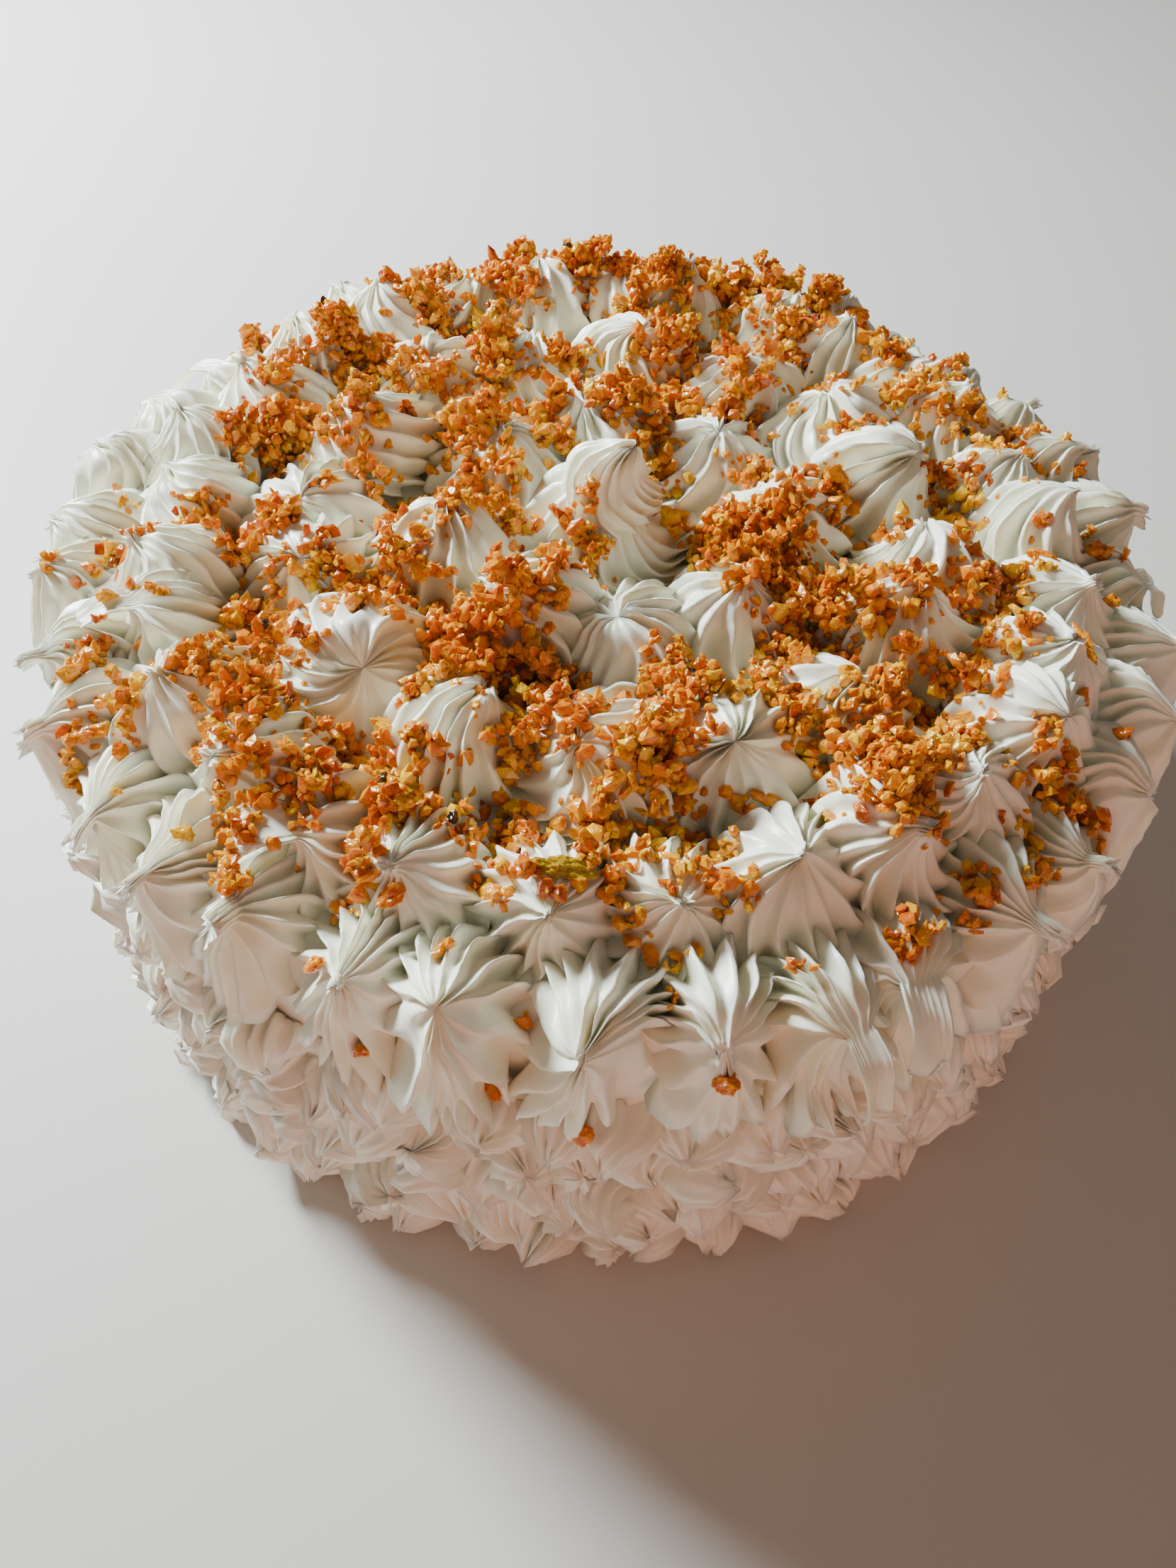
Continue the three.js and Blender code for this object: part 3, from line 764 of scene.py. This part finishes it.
def crumb_tree():
    """Crumbs on points: a small ball for each, stretched, turned and broken up unlike the others."""
    maker = Maker("carrot_crumbs", {"Subdivisions": 1, "Roughness": 1.0, "Seed": 0})
    ball = maker.node("GeometryNodeMeshIcoSphere", None,
                      {"Radius": 1.0, "Subdivisions": maker.input("Subdivisions")})
    ball = maker.store(ball, "rest", maker.node("GeometryNodeInputPosition"), "FLOAT_VECTOR")
    laid = maker.node("GeometryNodeInstanceOnPoints", None, {
        "Points": maker.input("Geometry"), "Instance": ball,
        "Rotation": maker.node("FunctionNodeEulerToRotation", None,
                               {0: maker.attribute("turn", "FLOAT_VECTOR")}),
        "Scale": maker.attribute("size", "FLOAT_VECTOR")})
    real = maker.node("GeometryNodeRealizeInstances", None, {"Geometry": laid})
    rest = maker.attribute("rest", "FLOAT_VECTOR")
    own = maker.node("ShaderNodeCombineXYZ", None, {
        "X": maker.attribute("crumb") * 3.7, "Y": maker.attribute("crumb") * 1.3 + maker.input("Seed")})
    rough = maker.noise(rest + own, 1.1, 1.0) - 0.5 + 0.5 * (maker.noise(rest + own, 3.1, 1.0) - 0.5)
    centre = maker.attribute("place", "FLOAT_VECTOR") * MM
    here = maker.node("GeometryNodeInputPosition")
    moved = centre + (here - centre) * (1 + 2.2 * maker.input("Roughness") * rough)
    real = maker.node("GeometryNodeSetPosition", None, {"Geometry": real, "Position": moved})
    flat = maker.node("GeometryNodeSetShadeSmooth", None, {"Geometry": real, "Shade Smooth": False})
    return maker.end(flat)


def dropped_crumbs(relief, dice):
    """Every crumb as (kind, place, size, turn), dropped in clusters on the heaps and loosely elsewhere."""
    clusters = []
    for x, y, spread, count in HEAPS:
        turn = dice.uniform(0, math.pi)
        for _ in range(round(HEAP_FULLNESS * count)):
            away, aside = dice.normal(0, 0.75 * spread), dice.normal(0, 0.5 * spread)
            clusters.append((x + away * math.cos(turn) - aside * math.sin(turn),
                             y + away * math.sin(turn) + aside * math.cos(turn), True))
    for _ in range(LOOSE_CLUSTERS):
        turn, reach = dice.uniform(0, 2 * math.pi), LOOSE_REACH * math.sqrt(dice.uniform(0, 1))
        clusters.append((reach * math.cos(turn), reach * math.sin(turn), False))
    dice.shuffle(clusters)
    names, shares = list(CRUMB_KINDS), list(CRUMB_KINDS.values())
    crumbs = []
    for x, y, heaped in clusters:
        x, y = relief.rolled(x, y, int(dice.integers(0, 5 if heaped else 2)))
        kind = names[dice.choice(len(names), p=shares)]
        reach = dice.uniform(0.9, 1.9) if heaped else dice.uniform(0.6, 1.4)
        for _ in range(int(dice.integers(5, 12)) if heaped else int(dice.integers(2, 8))):
            spot = np.array((x, y)) + dice.normal(0, reach, 2)
            if not RESTING[0] < relief.at(*spot) < RESTING[1] or math.hypot(*spot) > REACH:
                continue
            size = 0.6 + 1.1 * dice.uniform() ** 2
            shape = size * dice.uniform((0.75, 0.65, 0.5), (1.45, 1.1, 0.95))
            under = relief.land(*spot, size)
            own_kind = kind if dice.uniform() < 0.7 else names[dice.choice(len(names), p=shares)]
            crumbs.append((own_kind, (*spot, under + 0.5 * size), shape, dice.uniform(0, 2 * math.pi, 3)))
    return crumbs


def lying(relief, x, y, length, width, direction):
    """The place and turn of a shred that lies on the top."""
    step = Vector((math.cos(math.radians(direction)), math.sin(math.radians(direction)), 0)) * length * 0.4
    ends = [Vector((x + way * step.x, y + way * step.y, 0)) for way in (-1, 1)]
    for one in ends:
        one.z = relief.at(one.x, one.y)
    rise = max(min(ends[1].z - ends[0].z, 0.7 * length), -0.7 * length)
    along = Vector((2 * step.x, 2 * step.y, rise))
    place = (x, y, max(relief.at(x, y), (ends[0].z + ends[1].z) / 2) + 0.3 * width)
    return place, along.to_track_quat("X", "Z").to_euler()


def stuck(trees, azimuth, height, width, slope):
    """The place and turn of a shred that sticks to the side, found by a ray towards the middle."""
    turn = math.radians(azimuth)
    outward = Vector((math.cos(turn), math.sin(turn), 0))
    start = MM * (outward * 130 + Vector((0, 0, height)))
    hits = [tree.ray_cast(start, -outward) for tree in trees]
    spot, normal = min(((hit[0], hit[1]) for hit in hits if hit[0]),
                       key=lambda one: (one[0] - start).length)
    side = Vector((0, 0, 1)).cross(normal).normalized()
    along = Matrix.Rotation(math.radians(slope), 3, normal) @ side
    return tuple(spot / MM + 0.25 * width * normal), along.to_track_quat("X", "Z").to_euler()


def crumb_points(name, crumbs):
    """Points for crumbs given as (place, size, turn)."""
    places = [place for place, size, turn in crumbs]
    vectors = {"place": places, "size": [MM * np.array(size) for place, size, turn in crumbs],
               "turn": [tuple(turn) for place, size, turn in crumbs]}
    return points_mesh(name, places, {"crumb": range(len(crumbs))}, vectors)


def strew(name, crumbs, material, **sizes):
    piece = grown(name, crumb_points(name, crumbs), crumb_maker, material, **sizes)
    return placed(piece, "piped_cream", "piped_cream")


carrot_finishes = {
    "orange_crumbs": candied_carrot(
        "orange_carrot", (0.66, 0.125, 0.001), (0.82, 0.255, 0.002), (0.94, 0.42, 0.005)),
    "amber_crumbs": candied_carrot(
        "amber_carrot", (0.72, 0.21, 0.001), (0.86, 0.35, 0.003), (0.96, 0.52, 0.008)),
    "golden_crumbs": candied_carrot(
        "golden_carrot", (0.82, 0.35, 0.003), (0.9, 0.48, 0.008), (0.98, 0.64, 0.02)),
    "dark_crumbs": candied_carrot(
        "dark_carrot", (0.42, 0.065, 0.001), (0.58, 0.12, 0.002), (0.76, 0.21, 0.003)),
}
relief = Relief(top_pieces + [drum])
dice = np.random.default_rng(CRUMB_SEED)
crumb_maker = crumb_tree()

shreds = []
for x, y, length, width, direction in SHREDS:
    place, turn = lying(relief, x, y, length, width, direction)
    shreds.append((place, (length / 2, width / 2, 0.35 * width), turn))
for azimuth, height, length, width, slope in SIDE_SHREDS:
    place, turn = stuck(relief.trees, azimuth, height, width, slope)
    shreds.append((place, (length / 2, width / 2, 0.35 * width), turn))
strew("carrot_shreds", shreds, carrot_finishes["orange_crumbs"], subdivisions=3, roughness=0.7)
place, turn = lying(relief, **PEEL)
strew("peel_shred", [(place, (PEEL["length"] / 2, PEEL["width"] / 2, 0.3 * PEEL["width"]), turn)],
      candied_carrot("peel", (0.42, 0.25, 0.006), (0.56, 0.37, 0.012), (0.7, 0.5, 0.035)), subdivisions=4,
      roughness=0.7)

crumbs = dropped_crumbs(relief, dice)
for kind, material in carrot_finishes.items():
    strew(kind, [crumb[1:] for crumb in crumbs if crumb[0] == kind], material)
specks = [((x, y, relief.at(x, y) + 0.3), dice.uniform(0.6, 1.1, 3), dice.uniform(0, 6, 3))
          for x, y in SPECKS]
strew("dark_specks", specks, candied_carrot("burnt_sugar", (0.03, 0.01, 0.004), (0.05, 0.018, 0.006),
                                            (0.09, 0.03, 0.01)), subdivisions=2)


# Floor, light and camera -----------------------------------------------------------------------------


def floor():
    mesh = bpy.data.meshes.new("floor")
    reach = 3.0
    mesh.from_pydata([(-reach, -reach, 0), (reach, -reach, 0), (reach, reach, 0), (-reach, reach, 0)], [],
                     [(0, 1, 2, 3)])
    material, graph, shader, place = finish("pale_floor")
    speck = graph.noise(place, 8.0, 2.0)
    graph.fill(shader.inputs["Base Color"], graph.mix(speck, (0.62, 0.59, 0.545, 1), (0.66, 0.63, 0.585, 1)))
    shader.inputs["Roughness"].default_value = 0.6
    mesh.materials.append(material)
    ground = bpy.data.objects.new("floor", mesh)
    bpy.context.scene.collection.objects.link(ground)
    ground.location.z = -0.0002


def area_light(name, place, aim, size, power, colour):
    light = bpy.data.lights.new(name, "AREA")
    light.shape = "DISK"
    light.size = size
    light.energy = power
    light.color = colour
    lamp = bpy.data.objects.new(name, light)
    bpy.context.scene.collection.objects.link(lamp)
    lamp.location = place
    lamp.rotation_euler = (Vector(place) - Vector(aim)).to_track_quat("Z", "Y").to_euler()


def camera():
    """The viewing angle: from just in front of the cake, looking steeply down, a little rolled."""
    lens = bpy.data.cameras.new("camera")
    lens.sensor_width = 36
    lens.lens = 27.03
    lens.clip_start = 0.01
    eye = bpy.data.objects.new("camera", lens)
    bpy.context.scene.collection.objects.link(eye)
    tip_down = Matrix.Rotation(math.radians(90 - 51.4), 4, "X")
    roll = Matrix.Rotation(math.radians(3.41), 4, "Z")
    eye.matrix_world = Matrix.Translation((-0.0016, -0.184, 0.243)) @ tip_down @ roll
    bpy.context.scene.camera = eye


floor()
middle = (0, 0, 0.06)
area_light("key", (-0.75, 0.5, 0.6), middle, 0.3, 44, (0.85, 0.96, 1.0))
area_light("fill", (0.2, -1.0, 0.2), middle, 0.9, 4.4, (1.0, 0.39, 0.25))
world = bpy.data.worlds.new("studio")
world.use_nodes = True
world.node_tree.nodes["Background"].inputs["Color"].default_value = (1.0, 0.95, 0.85, 1)
world.node_tree.nodes["Background"].inputs["Strength"].default_value = 0.17
bpy.context.scene.world = world
camera()
